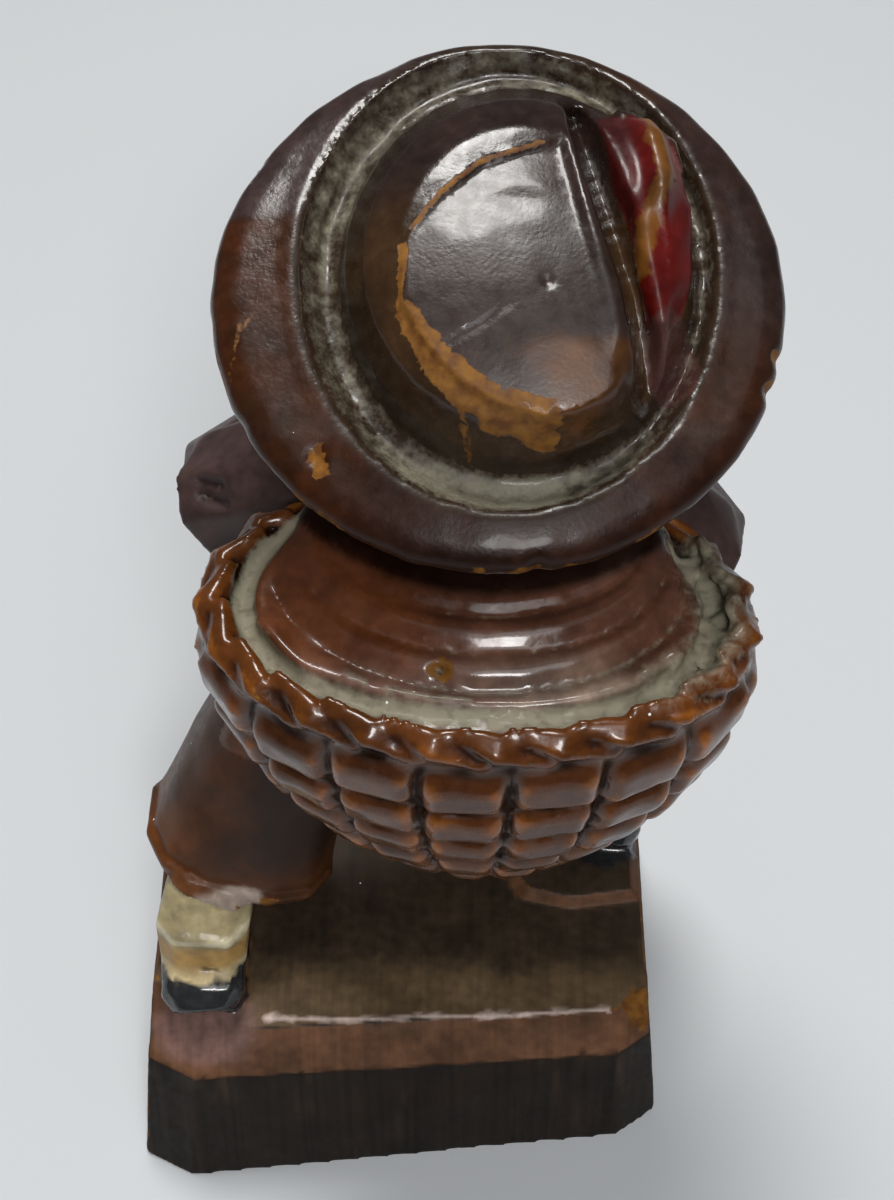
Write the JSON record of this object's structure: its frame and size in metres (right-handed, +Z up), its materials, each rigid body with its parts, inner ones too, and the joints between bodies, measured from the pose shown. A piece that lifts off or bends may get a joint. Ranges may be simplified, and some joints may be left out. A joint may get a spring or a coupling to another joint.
{
  "type": "carved wooden boy figurine",
  "caption": "Carved wooden figurine of a striding boy in a wide-brimmed feathered hat, carrying a filled pack basket, on a thick tapered block plinth.",
  "frame": {"origin": "middle of the plinth's flat underside", "axes": "+Z up along the figure's height, the boy faces -Y and his left hand is on the +X side"},
  "size_m": [0.0623, 0.0565, 0.115],
  "materials": {
    "lacquered_wood": "dark brown painted and lacquered wood, worn to amber at its edges, glossy"
  },
  "bodies": {
    "root": {"carved_boy": "lacquered_wood"}
  },
  "joints": []
}
